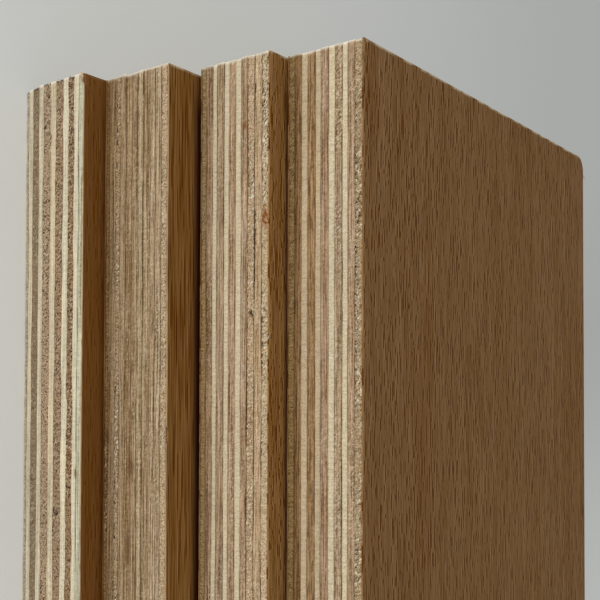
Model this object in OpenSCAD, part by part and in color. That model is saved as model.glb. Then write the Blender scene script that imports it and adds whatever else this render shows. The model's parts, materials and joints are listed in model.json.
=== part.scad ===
// Stack of four plywood sheets that lie flat, with their front edges stepped back one above the other.
// +X runs along the grain of the faces, -Y is the stepped front and +Z is up.
// The origin is on the underside, at the middle of the stack's length and depth.

/* [Sheets] */
// Length of the top sheet, along the grain of its faces
sheet_l = 148; // [120:1:300]
// Width of every sheet, across the grain of its faces
sheet_w = 105; // [70:1:300]
// Thickness of every sheet, as pressed
sheet_t = 17.2; // [12:0.1:30]
// Thickness of the thin veneer on each face
face_t = 0.3; // [0.2:0.05:1]
// Radius of the two back corners of every sheet
corner_r = 3.5; // [0.5:0.5:12]

/* [Core veneers as peeled, from the underside up] */
// Thicknesses of the veneers laid in sheet 1, at the bottom of the stack
peeled_1 = [0.6, 1.2, 1.8, 1.35, 2.2, 1.6, 2.1, 1.6, 1.7, 1.35, 1.1]; // [0.5:0.05:3]
// Thicknesses of the veneers laid in sheet 2
peeled_2 = [0.85, 1.85, 1.2, 1.6, 1.7, 1.65, 1.35, 1.95, 1.25, 1.7, 1.5]; // [0.5:0.05:3]
// Thicknesses of the veneers laid in sheet 3
peeled_3 = [1.2, 1.65, 1.1, 1.85, 1.2, 1.65, 1.4, 1.55, 1.7, 1.8, 1.5]; // [0.5:0.05:3]
// Thicknesses of the veneers laid in sheet 4, at the top of the stack
peeled_4 = [1.35, 1.65, 1.4, 1.8, 1.25, 1.75, 1.35, 1.7, 1.25, 1.55, 1.55]; // [0.5:0.05:3]

/* [Stepping of the stack] */
// How far the front of sheet 2 lies behind the front of sheet 1
setback_2 = 5.7; // [0:0.1:20]
// How far the front of sheet 3 lies behind the front of sheet 2
setback_3 = 9; // [0:0.1:20]
// How far the front of sheet 4 lies behind the front of sheet 3
setback_4 = 5.5; // [0:0.1:20]
// How much shorter sheet 1 is than the top sheet
shortfall_1 = 1.6; // [0:0.05:10]
// How much shorter sheet 2 is than the top sheet
shortfall_2 = 1.6; // [0:0.05:10]
// How much shorter sheet 3 is than the top sheet
shortfall_3 = 0.25; // [0:0.05:10]

/* [Core gaps in sheet 3] */
// Height of the slits left open under one long ply
gap_h = 0.3; // [0.1:0.05:0.6]
// Depth of the slits behind the front edge
gap_depth = 8; // [2:0.5:30]
// Distance of the short slit from the sheet's uneven end
short_gap_at = 5; // [2:0.5:15]
// Length of the short slit
short_gap_l = 4; // [1:0.5:10]
// Distance of the long slit from the sheet's uneven end
long_gap_at = 29; // [27:0.5:60]
// Length of the long slit
long_gap_l = 14.5; // [2:0.5:40]

/* [Worn corner of sheet 1] */
// How far the front edge is worn back at the underside
wear_l = 2.6; // [0.5:0.1:8]
// How far the uneven end is worn back at the underside
wear_w = 4; // [0.5:0.1:8]
// How far the wear runs up the corner
wear_h = 5; // [1:0.5:15]

/* [Hidden] */
SHEETS = 4;
CORE_PLIES = 11;
BACK_VENEER = 0;
FACE_VENEER = CORE_PLIES + 1;
GAP_SHEET = 3;
GAP_PLY = 10;
WORN_SHEET = 1;
CUT_MARGIN = 1;
GLUE_LINE_STEP = 0.001;

FACE_BROWN = [0.56, 0.40, 0.26];
CROSS_CREAM = [0.86, 0.79, 0.63];
LONG_BROWN = [0.66, 0.50, 0.38];
$fn = 64;

PEELED = [peeled_1, peeled_2, peeled_3, peeled_4];
SETBACKS = [0, setback_2, setback_3, setback_4];
SHORTFALLS = [shortfall_1, shortfall_2, shortfall_3, 0];
GAPS = [[short_gap_at, short_gap_l], [long_gap_at, long_gap_l]];

function sum(list, count) = count == 0 ? 0 : list[count - 1] + sum(list, count - 1);
function is_long(ply) = ply % 2 == 0;

// The press brings the core of each sheet to one thickness, and its veneers keep their proportions
CORE_T = sheet_t - 2 * face_t;
function pressed(veneers) = veneers * (CORE_T / sum(veneers, CORE_PLIES));
function layers(sheet) = concat(face_t, pressed(PEELED[sheet - 1]), face_t);
function to_step(height) = round(height / GLUE_LINE_STEP) * GLUE_LINE_STEP;
function layer_base(sheet, layer) = to_step((sheet - 1) * sheet_t + sum(layers(sheet), layer));
function layer_t(sheet, layer) = layer_base(sheet, layer + 1) - layer_base(sheet, layer);

// The sheets are flush at their +X ends, and their fronts step back as they go up
STACK_DEPTH = sheet_w + sum(SETBACKS, SHEETS);
function front_y(sheet) = sum(SETBACKS, sheet) - STACK_DEPTH / 2;
function length(sheet) = sheet_l - SHORTFALLS[sheet - 1];
function end_x(sheet) = sheet_l / 2 - length(sheet);

function two_digits(n) = n < 10 ? str("0", n) : str(n);
function layer_name(layer) =
    layer == BACK_VENEER ? "back_veneer"
    : layer == FACE_VENEER ? "face_veneer"
    : str(is_long(layer) ? "long_ply_" : "cross_ply_", two_digits(layer));
function node_name(sheet, layer) = str("sheet_", sheet, "_", layer_name(layer));

// Outline of a sheet seen from above: square front corners and round back corners
module sheet_outline(sheet) {
    translate([end_x(sheet), front_y(sheet)]) {
        square([length(sheet), sheet_w - corner_r]);
        translate([corner_r, 0]) square([length(sheet) - 2 * corner_r, sheet_w]);
        for (x = [corner_r, length(sheet) - corner_r])
            translate([x, sheet_w - corner_r]) circle(corner_r);
    }
}

// Pyramid that takes off the lower front corner at the uneven end, grown so that it starts outside the sheet
module worn_corner() {
    corner = [end_x(WORN_SHEET), front_y(WORN_SHEET), layer_base(WORN_SHEET, BACK_VENEER)];
    grown = 1 + CUT_MARGIN / wear_l + CUT_MARGIN / wear_w + CUT_MARGIN / wear_h;
    translate(corner - CUT_MARGIN * [1, 1, 1])
        linear_extrude(wear_h * grown, scale = 0)
            polygon([[0, 0], [wear_l * grown, 0], [0, wear_w * grown]]);
}

// One veneer of a sheet, as thick as its place in the layup says
module layer(sheet, layer) {
    difference() {
        translate([0, 0, layer_base(sheet, layer)])
            linear_extrude(layer_t(sheet, layer)) sheet_outline(sheet);
        if (sheet == WORN_SHEET) worn_corner();
    }
}

// Slits at the front, where a long ply was laid without closing on the cross ply under it
module core_gaps() {
    translate([end_x(GAP_SHEET), front_y(GAP_SHEET), layer_base(GAP_SHEET, GAP_PLY)])
        for (gap = GAPS)
            translate([gap[0], -CUT_MARGIN, -CUT_MARGIN])
                cube([gap[1], gap_depth + CUT_MARGIN, gap_h + CUT_MARGIN]);
}

module veneer(sheet, layer) {
    color(FACE_BROWN) layer(sheet, layer);
}

module cross_ply(sheet, ply) {
    color(CROSS_CREAM) layer(sheet, ply);
}

module long_ply(sheet, ply) {
    color(LONG_BROWN) difference() {
        layer(sheet, ply);
        if (sheet == GAP_SHEET && ply == GAP_PLY) core_gaps();
    }
}

for (sheet = [1:SHEETS]) {
    for (face = [BACK_VENEER, FACE_VENEER])
        veneer(sheet, face);
    for (ply = [1:2:CORE_PLIES])
        cross_ply(sheet, ply);
    for (ply = [2:2:CORE_PLIES])
        long_ply(sheet, ply);
}
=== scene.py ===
import json
import math
from collections import namedtuple

import bpy
import numpy as np
from mathutils import Matrix, Vector


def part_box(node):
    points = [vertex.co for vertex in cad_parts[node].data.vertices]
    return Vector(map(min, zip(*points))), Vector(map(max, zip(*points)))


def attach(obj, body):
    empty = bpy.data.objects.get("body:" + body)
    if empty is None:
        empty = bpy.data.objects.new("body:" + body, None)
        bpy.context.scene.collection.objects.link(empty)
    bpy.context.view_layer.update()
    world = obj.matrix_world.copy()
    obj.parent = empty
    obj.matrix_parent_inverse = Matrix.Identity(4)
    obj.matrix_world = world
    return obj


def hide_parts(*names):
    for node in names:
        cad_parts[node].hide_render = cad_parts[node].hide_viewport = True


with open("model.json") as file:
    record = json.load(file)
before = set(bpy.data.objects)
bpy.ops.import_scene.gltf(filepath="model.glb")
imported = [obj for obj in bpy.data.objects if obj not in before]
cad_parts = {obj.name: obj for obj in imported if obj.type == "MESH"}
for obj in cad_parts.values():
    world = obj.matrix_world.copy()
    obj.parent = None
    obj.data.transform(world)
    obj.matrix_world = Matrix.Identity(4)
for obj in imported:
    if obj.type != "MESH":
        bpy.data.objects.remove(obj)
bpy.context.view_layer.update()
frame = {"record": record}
SLOT_OF = {part["node"]: part["material_slot"] for part in frame["record"]["subparts"]}

# Sizes are in millimetres, and MM turns them into the metres of the frame
MM = 0.001
SHEETS = (1, 2, 3, 4)
CORE_PLIES = 11
BACK_VENEER, FACE_VENEER = 0, CORE_PLIES + 1
LINES = FACE_VENEER + 2

# Outline of a sheet: radius of its back corners and of the broken front corners, and how finely it is walked
CORNER_R, CORNER_STEPS = 3.5, 10
ARRIS_R, ARRIS_STEPS = 0.22, 3
FRONT_STEP, FINE_STEP, REST_STEP = 0.3, 0.14, 1.1

# Rows up the sawn edge of a ply, of a torn or cracked ply and of a face veneer, as shares of the thickness
PLY_ROWS = np.array([0, 0.06, 0.15, 0.37, 0.63, 0.85, 0.94, 1])
FINE_ROWS = np.array([0, 0.05, 0.1, 0.17, 0.27, 0.39, 0.51, 0.63, 0.75, 0.86, 0.95, 1])
VENEER_ROWS = np.array([0, 0.4, 0.75, 1])
FINE_PLIES = ((1, 7), (1, 9), (2, 3), (3, 9), (3, 10), (3, 11), (4, 1), (4, 8), (4, 11))

# Waves of the glue lines by sheet, how many there are and how many turns they make round a sheet
CORE_WAVE = {1: 0.055, 2: 0.03, 3: 0.03, 4: 0.02}
FACE_WAVE = 0.015
WAVES, FEWEST_TURNS, MOST_TURNS = 10, 3, 80
# How far from a glue line its dark glue is full and ends, and how wide and deep its groove is
GLUE_FULL, GLUE_REACH, GROOVE_REACH, GROOVE = 0.05, 0.2, 0.12, 0.09
# How dark the glue lines of a sheet are, from the faintest to the strongest, and lines that differ from that
GLUE_OF = {1: (0.05, 0.3), 2: (0.4, 0.9), 3: (0.3, 0.75), 4: (0.25, 0.65)}
GLUE_ODD = {(1, 2): 0.5, (1, 11): 0.9, (3, 5): 0.9, (3, 9): 1.0}
GLUE_ODD |= {(3, 10): 1.0, (3, 11): 1.0, (4, 5): 0.9, (4, 9): 1.0}
# How unevenly the saw left the plies and the ends, and how rough the other sides are beside the front
PLY_STEP_IN, PLY_STEP_OUT, SLOW_WAVE = 0.06, 0.03, 0.03
END_UNEVEN, END_REACH = 0.12, 12.0
REST_ROUGH, VENEER_ROUGH = 0.5, (0.02, 0.015)
# How far cross plies are broken back at the uneven end, and their painted highlight and shadow on sheet 1
CROSS_BACK = {1: 0.28, 2: 0.05, 3: 0.08, 4: 0.08}
TIP_HIGHLIGHT, TIP_SHADOW = 0.1, 0.85
# The broken edge round a face: how far it drops and how wide it is
VENEER_ARRIS, ARRIS_INSETS = 0.08, (0.18, 0.6)
# The worn corner of sheet 1: along its front, along its end and up its edge, and how hollow its curve is
WORN_SHEET, WEAR_L, WEAR_W, WEAR_H, WEAR_CURVE = 1, 0.8, 4.0, 4.2, 1.4
# Angle past which an edge between two faces is sharp, in degrees
SHARP_FROM = 55


def node_name(sheet, layer):
    """Name of a layer: 0 is the back veneer, 1 to 11 are the core plies going up, 12 is the face veneer."""
    if layer in (BACK_VENEER, FACE_VENEER):
        return f"sheet_{sheet}_{'back' if layer == BACK_VENEER else 'face'}_veneer"
    return f"sheet_{sheet}_{'cross' if layer % 2 else 'long'}_ply_{layer:02d}"


def layer_box(sheet, layer):
    """Lowest and highest corner of a layer in the frame, in millimetres."""
    return np.array(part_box(node_name(sheet, layer))) / MM


BOXES = {(sheet, layer): layer_box(sheet, layer) for sheet in SHEETS for layer in range(FACE_VENEER + 1)}
UNEVEN_END = {sheet: BOXES[sheet, 1][0][0] for sheet in SHEETS}
FRONT = {sheet: BOXES[sheet, 1][0][1] for sheet in SHEETS}
UNDERSIDE = {sheet: BOXES[sheet, BACK_VENEER][0][2] for sheet in SHEETS}


# Shapes

Walk = namedtuple("Walk", "spots out along total")


def walk_round(low, high, front_step):
    """Walk round a sheet from above: points, the way out at each, the distance walked and the whole length.

    It starts at the front corner of the uneven end and goes along the front, the flush end, the back and the
    uneven end. Each corner is a quarter circle, centre + radius * (cos a, sin a), and a straight run of even
    steps joins it to the next.
    """
    (x0, y0), (x1, y1) = low[:2], high[:2]
    corners = (
        (x0 + ARRIS_R, y0 + ARRIS_R, ARRIS_R, 180, ARRIS_STEPS, front_step),
        (x1 - ARRIS_R, y0 + ARRIS_R, ARRIS_R, 270, ARRIS_STEPS, REST_STEP),
        (x1 - CORNER_R, y1 - CORNER_R, CORNER_R, 0, CORNER_STEPS, REST_STEP),
        (x0 + CORNER_R, y1 - CORNER_R, CORNER_R, 90, CORNER_STEPS, REST_STEP),
    )
    arcs = []
    for centre_x, centre_y, radius, first, steps, _ in corners:
        turn = np.radians(first + np.linspace(0, 90, steps + 1))
        out = np.stack([np.cos(turn), np.sin(turn)], 1)
        arcs.append((np.array([centre_x, centre_y]) + radius * out, out))
    spots, outs = [], []
    for i, (arc, out) in enumerate(arcs):
        near, far = arc[-1], arcs[(i + 1) % len(arcs)][0][0]
        count = round(np.linalg.norm(far - near) / corners[i][-1])
        share = np.arange(1, count)[:, None] / count
        spots += [arc, near + share * (far - near)]
        outs += [out, np.repeat(out[-1:], count - 1, 0)]
    spots, outs = np.concatenate(spots), np.concatenate(outs)
    leg = np.linalg.norm(np.roll(spots, -1, 0) - spots, axis=1)
    return Walk(spots, outs, np.cumsum(leg) - leg, leg.sum())


def seeded(*key):
    """Random numbers that are the same in every run, for a key of whole numbers."""
    return np.random.default_rng(key)


# Noise on the sawn edges: the number that seeds it, and how long and how tall its lumps are. After so many
# lumps each way it repeats
EDGE_NOISE = {
    "torn": (3, 0.45, 0.4),
    "torn_wide": (4, 1.7, 0.9),
    "combed": (5, 6.0, 0.4),
    "slow": (6, 22.0, 1.0),
    "glue": (7, 3.0, 1.0),
    "end_rim": (8, 1.5, 0.8),
    "end": (9, 6.0, 1.0),
    "patches": (10, 8.0, 3.0),
    "pale": (12, 1.6, 1.0),
    "broken_end": (13, 1.2, 0.7),
    "ragged": (90, 0.7, 0.5),
    "mouth": (91, 0.6, 1.0),
    "tooth_reach": (92, 0.45, 1.0),
    "teeth": (93, 0.4, 0.4),
    "tooth_groups": (94, 5.0, 1.0),
    "chip": (95, 0.4, 1.0),
}
NOISE_STEPS = (1021, 61)


def edge_noise(kind, far, up, *layer):
    """Smooth noise of a kind, from -1 to 1, by the distance along an edge and the height.

    It has random heights at whole lumps each way, and between them it is blended by 3 f^2 - 2 f^3.
    """
    seed, long, tall = EDGE_NOISE[kind]
    heights = seeded(*layer, seed).uniform(-1, 1, NOISE_STEPS)
    u, v = np.broadcast_arrays(far / long, up / tall)
    iu, iv = np.floor(u).astype(int), np.floor(v).astype(int)
    fu, fv = (f * f * (3 - 2 * f) for f in (u - iu, v - iv))

    def height(du, dv):
        return heights[(iu + du) % NOISE_STEPS[0], (iv + dv) % NOISE_STEPS[1]]

    low = height(0, 0) * (1 - fu) + height(1, 0) * fu
    high = height(0, 1) * (1 - fu) + height(1, 1) * fu
    return low * (1 - fv) + high * fv


def fade(value, start, stop):
    """0 at start and 1 at stop, with 3 f^2 - 2 f^3 between them."""
    f = np.clip((value - start) / (stop - start), 0, 1)
    return f * f * (3 - 2 * f)


def rows_of(table, *key):
    """Rows of a table that start with a key, without it."""
    return [row[len(key):] for row in table if row[:len(key)] == key]


# A pinch: sheet, glue line, distance from the uneven end, half width and rise of the line there
PINCHES = (
    (1, 6, 11.6, 1.3, 0.5),
    (1, 6, 13.4, 0.8, -0.2),
    (1, 7, 12.6, 1.6, -0.15),
)


def glue_line(sheet, line, walk):
    """Height of a glue line round a sheet: its level, waves of whole numbers of turns, and its pinches."""
    level = BOXES[sheet, line][0][2] if line <= FACE_VENEER else BOXES[sheet, FACE_VENEER][1][2]
    if line in (0, LINES - 1):
        return np.full(len(walk.along), level)
    random = seeded(sheet, line, 1)
    turns = random.integers(FEWEST_TURNS, MOST_TURNS, WAVES)
    phase = random.uniform(0, 2 * math.pi, WAVES)
    size = random.uniform(0.4, 1, WAVES) / np.sqrt(turns / turns.min())
    wave = (size * np.sin(2 * math.pi * np.outer(walk.along / walk.total, turns) + phase)).sum(1)
    height = level + (FACE_WAVE if line in (1, LINES - 2) else CORE_WAVE[sheet]) * wave
    at_front = np.clip(-walk.out[:, 1], 0, 1)
    from_end = walk.spots[:, 0] - UNEVEN_END[sheet]
    for place, half, rise in rows_of(PINCHES, sheet, line):
        height = height + rise * at_front * np.exp(-(((from_end - place) / half) ** 2))
    return height


def glue_dark(sheet, line, far):
    """How dark a glue line is along the walk: its own strength, broken by noise."""
    faint, strong = GLUE_OF[sheet]
    strength = GLUE_ODD.get((sheet, line), faint + (strong - faint) * seeded(sheet, line, 11).uniform())
    return strength * np.clip(0.8 + 0.5 * edge_noise("glue", far, 0.0, sheet, line), 0, 1)


# A hollow on a front edge: sheet, its two ends as (distance from the uneven end, height above the sheet's
# underside), half width, depth and how dark its painted shade is
HOLLOWS = (
    (3, (5.3, 13.6), (7.6, 12.1), 0.14, 0.12, 0.5),
    (3, (48.8, 12.6), (49.4, 13.0), 0.46, 0.8, 1.0),
    (1, (85.7, 10.4), (86.4, 9.9), 0.3, 0.6, 1.0),
    (1, (85.7, 9.3), (86.4, 9.9), 0.3, 0.6, 1.0),
    (1, (86.4, 9.9), (87.0, 9.9), 0.28, 0.5, 1.0),
    (1, (87.8, 9.2), (88.8, 9.7), 0.2, 0.15, 0.4),
    (1, (2.3, 6.6), (3.0, 6.6), 0.25, 0.3, 0.8),
)
# A slit under ply 10 of sheet 3: its two distances from the uneven end, and how high its mouth is as a rule.
# It runs on a little past them and tapers in, and its lower lip is broken over a height. Both are dark with
# painted shade
SLIT_SHEET, SLIT_PLY, SLIT_DEPTH, SLIT_PAST, SLIT_TAPER = 3, 10, 1.0, 0.2, 1.2
LIP_DEPTH, LIP_FULL, LIP_HIGH = 0.3, 0.03, 0.14
SLITS = ((4.9, 8.9, 0.2), (29.1, 43.6, 0.15))
# How high and deep teeth are, and how much their height varies; they are dark with painted shade
TOOTH_HIGH, TOOTH_DEPTH, TOOTH_VARIES = 0.35, 0.2, 0.25
# Teeth torn out along the glue line under a ply: sheet, ply, two distances from the uneven end and strength
TEETH = (
    (4, 11, 10.0, 50.0, 1.0),
    (4, 11, 50.0, 95.0, 0.55),
    (4, 8, 2.0, 20.0, 0.35),
    (3, 11, 0.5, 13.0, 0.55),
    (3, 11, 36.0, 62.0, 0.7),
    (3, 9, 18.0, 46.0, 0.5),
    (2, 3, 3.0, 34.0, 0.8),
    (2, 3, 60.0, 95.0, 1.0),
    (1, 7, 20.0, 95.0, 0.6),
    (1, 9, 8.0, 95.0, 0.6),
)
# A stretch torn more than the rest of its ply: sheet, ply, two distances from the uneven end and how much.
# It fades out a little past them
TORN_PAST = 2.0
TORN = (
    (4, 1, 0.0, 24.0, 1.5),
    (4, 8, 0.0, 20.0, 0.9),
    (4, 11, 80.0, 95.0, 0.5),
    (1, 9, 55.0, 82.0, 0.8),
    (2, 1, 72.0, 92.0, 1.2),
    (4, 11, 8.0, 34.0, 0.4),
    (3, 9, 16.0, 46.0, 0.9),
    (3, 9, 48.0, 95.0, 0.5),
    (3, 11, 0.0, 14.0, 0.8),
    (2, 3, 60.0, 95.0, 0.5),
)
# A stain on a front edge: sheet, middle as (distance from the uneven end, height above the underside), half
# length, half height and strength
STAINS = (
    (3, (31.2, 16.2), 3.0, 1.15, 1.0),
    (3, (34.0, 16.6), 0.7, 0.4, 0.6),
    (3, (13.3, 11.1), 1.2, 0.8, 0.7),
    (3, (69.5, 12.9), 5.0, 0.6, 0.45),
    (1, (74.5, 13.6), 7.5, 0.9, 0.45),
    (1, (60.0, 13.6), 9.0, 0.8, 0.35),
    (1, (77.5, 15.4), 1.5, 0.6, 0.5),
    (1, (1.0, 16.95), 1.4, 0.4, 0.9),
)
# A smudge on a front edge: the same, for darkened wood
SMUDGES = (
    (2, (57.3, 7.7), 2.0, 0.9, 0.65),
    (2, (76.5, 7.6), 3.4, 1.15, 0.95),
    (2, (92.3, 6.9), 6.5, 0.85, 0.95),
    (2, (82.0, 2.5), 18.0, 1.0, 0.35),
    (2, (66.5, 7.4), 1.6, 0.7, 0.6),
    (2, (71.0, 1.1), 1.9, 0.8, 0.75),
    (1, (78.2, 15.7), 1.8, 0.5, 0.9),
    (1, (81.5, 15.8), 1.6, 0.3, 0.4),
)
# Painted shade in the nook over the sheet below: even up to one height, gone at the next, and deeper in the
# corner
NOOK_FROM, NOOK_TO, NOOK_CORNER = 1.8, 3.7, 0.5
NOOK_OF = {1: 0.0, 2: 1.0, 3: 0.7, 4: 1.0}

# A chip out of a face veneer at the front: sheet, two distances from the uneven end, and depth
CHIPS = ((1, -0.6, 2.0, 1.4), (2, 68.8, 72.2, 0.35), (4, 69.2, 71.4, 0.25), (3, 12.0, 13.5, 0.2))
# How pale the sawn edges of back and face veneers are, how pale they are at the uneven end as a painted
# highlight, and how much of that a chip takes away
EDGE_PALE = {"back": {1: 0.9, 2: 0.06, 3: 0.1, 4: 0.0}, "face": {1: 0.85, 2: 0.55, 3: 0.0, 4: 0.0}}
END_HIGHLIGHT, CHIP_BARE = 0.9, 0.9

# What a point of a sawn edge can be marked with
MARKS = ("glue", "hollow", "stain", "smudge", "nook", "worn", "torn")


def near_line(along, up, start, stop, half):
    """1 on the straight line between two points of a front edge, falling smoothly to 0 at half its width."""
    way = np.subtract(stop, start)
    share = np.clip(((along - start[0]) * way[0] + (up - start[1]) * way[1]) / (way @ way), 0, 1)
    apart = np.hypot(along - start[0] - share * way[0], up - start[1] - share * way[1])
    return 1 - fade(apart, 0.3 * half, half)


def in_patch(along, up, middle, half_long, half_high):
    """1 in the middle of an oval patch of a front edge, falling smoothly to 0 at its rim."""
    reach = np.hypot((along - middle[0]) / half_long, (up - middle[1]) / half_high)
    return 1 - fade(reach, 0.35, 1)


def nook_shade(sheet, up):
    """Painted shade by height over the underside: even up to NOOK_FROM, none past NOOK_TO, more in the
    corner.
    """
    return NOOK_OF[sheet] * (0.75 * (1 - fade(up, NOOK_FROM, NOOK_TO)) + 0.25 * np.exp(-up / NOOK_CORNER))


def chip_depth(sheet, layer, along):
    """How deep the chips of a face veneer go in at the front: ragged humps by sin(pi * share)^0.7."""
    depth = np.zeros(along.shape)
    for start, stop, deep in rows_of(CHIPS, sheet) if layer == FACE_VENEER else ():
        share = np.clip((along - start) / (stop - start), 0, 1)
        ragged = 1 + 0.25 * edge_noise("chip", along, 0.0, sheet)
        depth = np.maximum(depth, deep * ragged * np.sin(math.pi * share) ** 0.7)
    return depth


def front_marks(sheet, layer, along, up, height, drop):
    """How deep the hollows of a front edge go in, how dark their painted shade is, and how stained and
    smudged each of its points is.

    Height is over the glue line below and drop is under the one above. A hollow is a line of ragged width.
    A slit is open from the glue line up to a ragged mouth, and its lower lip is broken. Teeth are the high
    spots of noise just over a glue line. Stains and smudges are ovals with ragged ends.
    """
    ragged = 1 + 0.5 * edge_noise("ragged", along, up, sheet)
    depth, hollow, stain, smudge = (np.zeros(along.shape) for _ in range(4))

    def hollow_out(deep, dark, mark):
        """Deepens the points of a mark and darkens them with painted shade, where they aren't as deep or as
        dark yet.
        """
        np.maximum(depth, deep * mark, out=depth)
        np.maximum(hollow, dark * mark, out=hollow)

    # Hollows, slits, lips and teeth are all darkened with painted shade
    for start, stop, half, deep, dark in rows_of(HOLLOWS, sheet):
        hollow_out(deep, dark, near_line(along, up, start, stop, half * ragged))
    for start, stop, high in SLITS if sheet == SLIT_SHEET else ():
        taper = fade(along, start - SLIT_PAST, start + SLIT_TAPER)
        taper = taper * fade(-along, -stop - SLIT_PAST, -stop + SLIT_TAPER)
        if layer == SLIT_PLY:
            mouth = high * taper * (1 + 0.7 * edge_noise("mouth", along, 0.0, sheet))
            hollow_out(SLIT_DEPTH, 1, (1 - fade(height, mouth, mouth + 0.05)) * (taper > 0))
        elif layer == SLIT_PLY - 1:
            hollow_out(LIP_DEPTH, 1, (1 - fade(drop, LIP_FULL, LIP_HIGH)) * taper)
    for start, stop, strength in rows_of(TEETH, sheet, layer):
        reach = TOOTH_HIGH + TOOTH_VARIES * edge_noise("tooth_reach", along, 0.0, sheet, layer)
        torn = fade(edge_noise("teeth", along, height, sheet, layer), 0.05, 0.4)
        torn = torn * fade(edge_noise("tooth_groups", along, 0.0, sheet, layer), -0.5, 0.3)
        mark = strength * torn * (1 - fade(height, 0.6 * reach, reach)) * (along > start) * (along < stop)
        hollow_out(TOOTH_DEPTH, 1, mark)
    for marks, patches in ((stain, STAINS), (smudge, SMUDGES)):
        for middle, half_long, half_high, strength in rows_of(patches, sheet):
            patch = in_patch(along, up, middle, half_long * ragged, half_high)
            np.maximum(marks, strength * patch, out=marks)
    return depth, hollow, stain, smudge


def end_shortfall(sheet, layer, y, up, own):
    """How far a layer falls short at the uneven end: its own share, broken cross grain and the corner wear.

    The wear is WEAR_L at the underside, by (1 - up / WEAR_H)^WEAR_CURVE less going up and none past WEAR_W.
    """
    shortfall = END_UNEVEN * (own + 0.5 * edge_noise("end", y, 0.0, sheet, layer))
    if layer % 2 == 1:
        broken = 0.7 + 0.5 * edge_noise("broken_end", y, up, sheet, layer)
        shortfall = shortfall + CROSS_BACK[sheet] * broken
    if sheet == WORN_SHEET:
        wear = WEAR_L * np.clip(1 - up / WEAR_H, 0, 1) ** WEAR_CURVE
        shortfall = shortfall + wear * (1 - fade(y - FRONT[sheet], 0, WEAR_W))
    return shortfall


def sawn_layer(sheet, layer, rows, front_step, rough_end, rough_side):
    """Rings of a layer's sawn edge, row by row going up, and what marks each point.

    A ring is the walk round the sheet. Its height goes from the glue line below to the one above by the
    row's share. Each point is moved along its way out by the ply's own step, a slow wave, the groove at the
    glue lines, the roughness of end grain or of side grain, and the hollows. At the uneven end, points
    within END_REACH are drawn in by the layer's shortfall, which dies away evenly. Chips go in towards the
    middle.
    """
    walk = walk_round(*BOXES[sheet, layer], front_step)
    random = seeded(sheet, layer, 2)
    under, over = glue_line(sheet, layer, walk), glue_line(sheet, layer + 1, walk)
    z = under + (over - under) * rows[:, None]
    x, y = (np.broadcast_to(walk.spots[:, axis], z.shape) for axis in range(2))
    far, along, up = walk.along, x - UNEVEN_END[sheet], z - UNDERSIDE[sheet]
    at_front = np.broadcast_to(fade(-walk.out[:, 1], 0.5, 1), z.shape)

    def noise(kind, level=up):
        """Noise of a kind on this layer."""
        return edge_noise(kind, far, level, sheet, layer)

    end_grain = np.abs(walk.out[:, layer % 2])
    torn = noise("torn") + 0.5 * noise("torn_wide")
    relief = end_grain * rough_end * torn + (1 - end_grain) * rough_side * noise("combed")
    relief = relief * (REST_ROUGH + (1 - REST_ROUGH) * at_front)
    relief = relief + random.uniform(-PLY_STEP_IN, PLY_STEP_OUT) + SLOW_WAVE * noise("slow", 0.0)

    chip = chip_depth(sheet, layer, along)
    marks = {name: np.zeros(z.shape) for name in MARKS}
    marks["torn"] = np.clip(0.6 + 0.9 * noise("patches"), 0, 1.4)
    if rows is not VENEER_ROWS:
        height, drop = z - under, over - z
        for line, away in ((layer, height), (layer + 1, drop)):
            dark = glue_dark(sheet, line, far)
            relief = relief - GROOVE * (0.4 + 0.6 * dark) * (1 - fade(away, 0, GROOVE_REACH))
            marks["glue"] = np.maximum(marks["glue"], dark * (1 - fade(away, GLUE_FULL, GLUE_REACH)))
        found = front_marks(sheet, layer, along, up, height, drop)
        depth, marks["hollow"], marks["stain"], marks["smudge"] = (at_front * values for values in found)
        relief = relief - depth
        for start, stop, more in rows_of(TORN, sheet, layer):
            more = more * at_front * fade(along, start - TORN_PAST, start)
            marks["torn"] = marks["torn"] + more * fade(-along, -stop - TORN_PAST, -stop)
    else:
        pale = EDGE_PALE["back" if layer == BACK_VENEER else "face"][sheet]
        patchy = noise("pale", 0.0)
        # At the uneven end a veneer's edge is paler: a painted highlight
        at_end = 1 - fade(along, 0.1, 0.3)
        edge = np.maximum(pale * (0.85 + 0.3 * patchy), at_end * END_HIGHLIGHT * fade(patchy, -0.6, 0.3))
        marks["edge"] = edge * (1 - CHIP_BARE * fade(chip, 0, 0.15))
    # Painted shade in the nook over the sheet below
    marks["nook"] = at_front * nook_shade(sheet, up)
    # A painted highlight along the rim of the uneven end
    end_rim = 1 - fade(along, 0.1, 0.7 + 0.3 * noise("end_rim"))
    end_rim = end_rim * (1 - fade(y - FRONT[sheet], 0.2, 1.2))
    # On sheet 1 broken-back cross plies get less of the painted highlight, and a painted shadow at their
    # tips
    broken_back = sheet == WORN_SHEET and layer % 2 == 1
    marks["worn"] = end_rim * (TIP_HIGHLIGHT if broken_back else 1.0)
    if broken_back:
        marks["hollow"] = np.maximum(marks["hollow"], TIP_SHADOW * end_rim)

    shortfall = end_shortfall(sheet, layer, y, up, random.uniform(0, 1))
    drawn_in = shortfall * (1 - np.clip(along / END_REACH, 0, 1))
    inward = walk.spots.mean(0) - walk.spots
    inward = inward / np.linalg.norm(inward, axis=1, keepdims=True) * at_front[:1].T
    x, y = (xy + walk.out[:, axis] * relief + inward[:, axis] * chip for axis, xy in enumerate((x, y)))
    return np.stack([x + drawn_in, y, z], 2), marks, walk


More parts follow.
